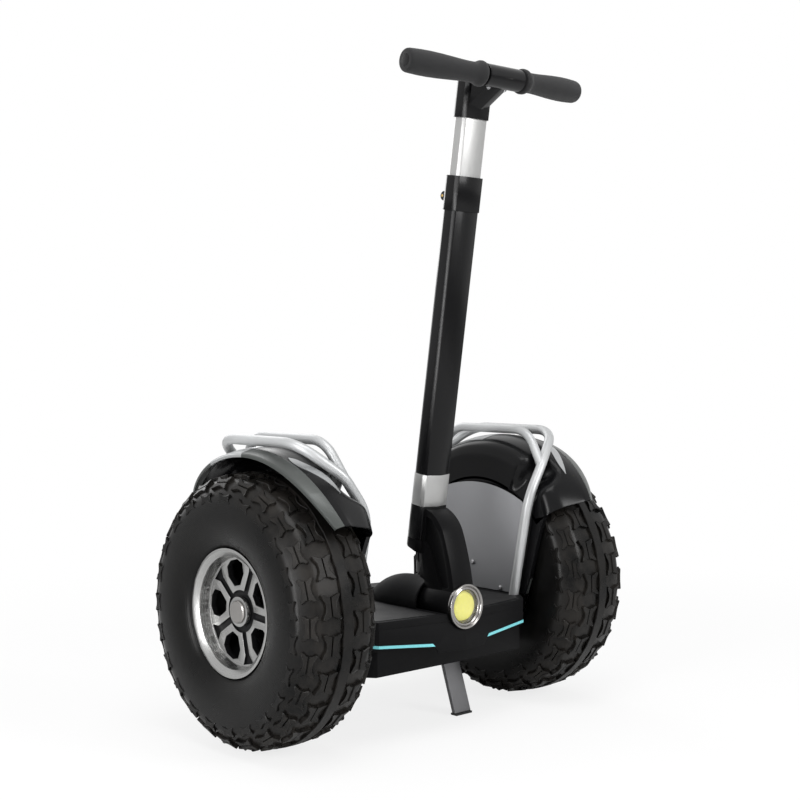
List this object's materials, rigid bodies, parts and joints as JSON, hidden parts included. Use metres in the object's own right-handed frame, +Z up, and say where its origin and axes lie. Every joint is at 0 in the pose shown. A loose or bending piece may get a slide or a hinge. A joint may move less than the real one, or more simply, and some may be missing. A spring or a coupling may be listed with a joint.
{
  "type": "self balancing personal transporter",
  "caption": "Two-wheeled self balancing transporter with wide off-road tyres, a padded deck, a leaning telescopic stem on an arch fork, side rails, fenders, front lamp and folding stand.",
  "frame": {"origin": "on the floor under the middle of the outline", "axes": "+Z up, -Y forward, +X to the rider's left, along the wheel axle"},
  "size_m": [0.811, 0.5349, 1.1921],
  "materials": {
    "casting_black": "satin",
    "stem_paint": "satin",
    "bright_tube": "satin",
    "shell_plastic": "fine grain",
    "fender_gloss": "gloss",
    "accent_silver": "satin",
    "rail_paint": "satin",
    "plate_grey": "fine speckle",
    "mat_rubber": "ribbed",
    "tyre_rubber": "moulded",
    "rim_alloy": "polished and black",
    "hub_cap_alloy": "turned",
    "steel": "machined",
    "lamp_chrome": "polished",
    "lamp_yellow": "lit",
    "lamp_glass": "clear",
    "strip_teal": "translucent",
    "grip_foam": "fine foam",
    "bar_paint": "satin",
    "motor_paint": "satin",
    "pack_case": "matt",
    "heat_sink": "satin",
    "stand_paint": "satin",
    "stand_black": "satin",
    "stand_tip": "matt",
    "knob_plastic": "matt",
    "gold_screw": "plated"
  },
  "bodies": {
    "chassis": {"chassis_frame": "casting_black", "belly_cover": "shell_plastic", "deck_cover": "shell_plastic", "front_panel": "shell_plastic", "spine_cowling": "shell_plastic", "pivot_housing": "casting_black", "pivot_bearings": "steel", "battery_pack": "pack_case", "motor_controller": "heat_sink", "charge_port": "knob_plastic", "side_plate_screws": "steel", "kickstand_bracket": "stand_black", "kickstand_pin": "steel", "left_light_strip": "strip_teal", "right_light_strip": "strip_teal", "left_foot_mat": "mat_rubber", "right_foot_mat": "mat_rubber", "left_motor": "motor_paint", "right_motor": "motor_paint", "left_gearbox": "casting_black", "right_gearbox": "casting_black", "left_side_plate": "plate_grey", "right_side_plate": "plate_grey", "left_fender": "fender_gloss", "right_fender": "fender_gloss", "left_fender_accent": "accent_silver", "right_fender_accent": "accent_silver", "left_rail": "rail_paint", "right_rail": "rail_paint"},
    "left_wheel": {"left_tyre": "tyre_rubber", "left_rim": "rim_alloy", "left_hub_cap": "hub_cap_alloy", "left_axle_nut": "steel", "left_drive_shaft": "steel"},
    "right_wheel": {"right_tyre": "tyre_rubber", "right_rim": "rim_alloy", "right_hub_cap": "hub_cap_alloy", "right_axle_nut": "steel", "right_drive_shaft": "steel"},
    "steering": {"arch_fork": "casting_black", "pivot_shaft": "steel", "headlight_bezel": "lamp_chrome", "headlight_lamp": "lamp_yellow", "headlight_lens": "lamp_glass", "stem_socket": "stem_paint", "silver_sleeve": "bright_tube", "outer_tube": "stem_paint", "collar": "stem_paint", "clamp_screw": "gold_screw"},
    "telescope": {"inner_tube": "bright_tube", "head_casting": "casting_black", "bar_clamp": "casting_black", "bracket_screws": "steel", "handlebar": "bar_paint", "left_grip": "grip_foam", "right_grip": "grip_foam"},
    "knob": {"height_knob": "knob_plastic"},
    "kickstand": {"kickstand_leg": "stand_paint", "kickstand_foot": "stand_tip"}
  },
  "joints": [
    {"name": "left_wheel_spin", "type": "hinge", "parent": "chassis", "child": "left_wheel", "pos_m": [0.3195, 0.02666, 0.241], "axis": [1, 0, 0], "continuous": true},
    {"name": "right_wheel_spin", "type": "hinge", "parent": "chassis", "child": "right_wheel", "pos_m": [-0.3195, 0.02666, 0.241], "axis": [1, 0, 0], "continuous": true},
    {"name": "steering_lean", "type": "hinge", "parent": "chassis", "child": "steering", "pos_m": [0, 0.02666, 0.231], "axis": [0, 1, 0], "range_deg": [-12, 12], "stiffness_Nm_per_rad": 90},
    {"name": "handlebar_height", "type": "slide", "parent": "steering", "child": "telescope", "axis": [0, -0.1547, 0.988], "range_m": [-0.095, 0.11]},
    {"name": "height_knob_turn", "type": "hinge", "parent": "steering", "child": "knob", "pos_m": [0, -0.11824, 0.93158], "axis": [0, 0.988, 0.1547], "range_deg": [0, 360]},
    {"name": "kickstand_fold", "type": "hinge", "parent": "chassis", "child": "kickstand", "pos_m": [0.092, -0.02034, 0.104], "axis": [1, 0, 0], "range_deg": [0, 105]}
  ]
}
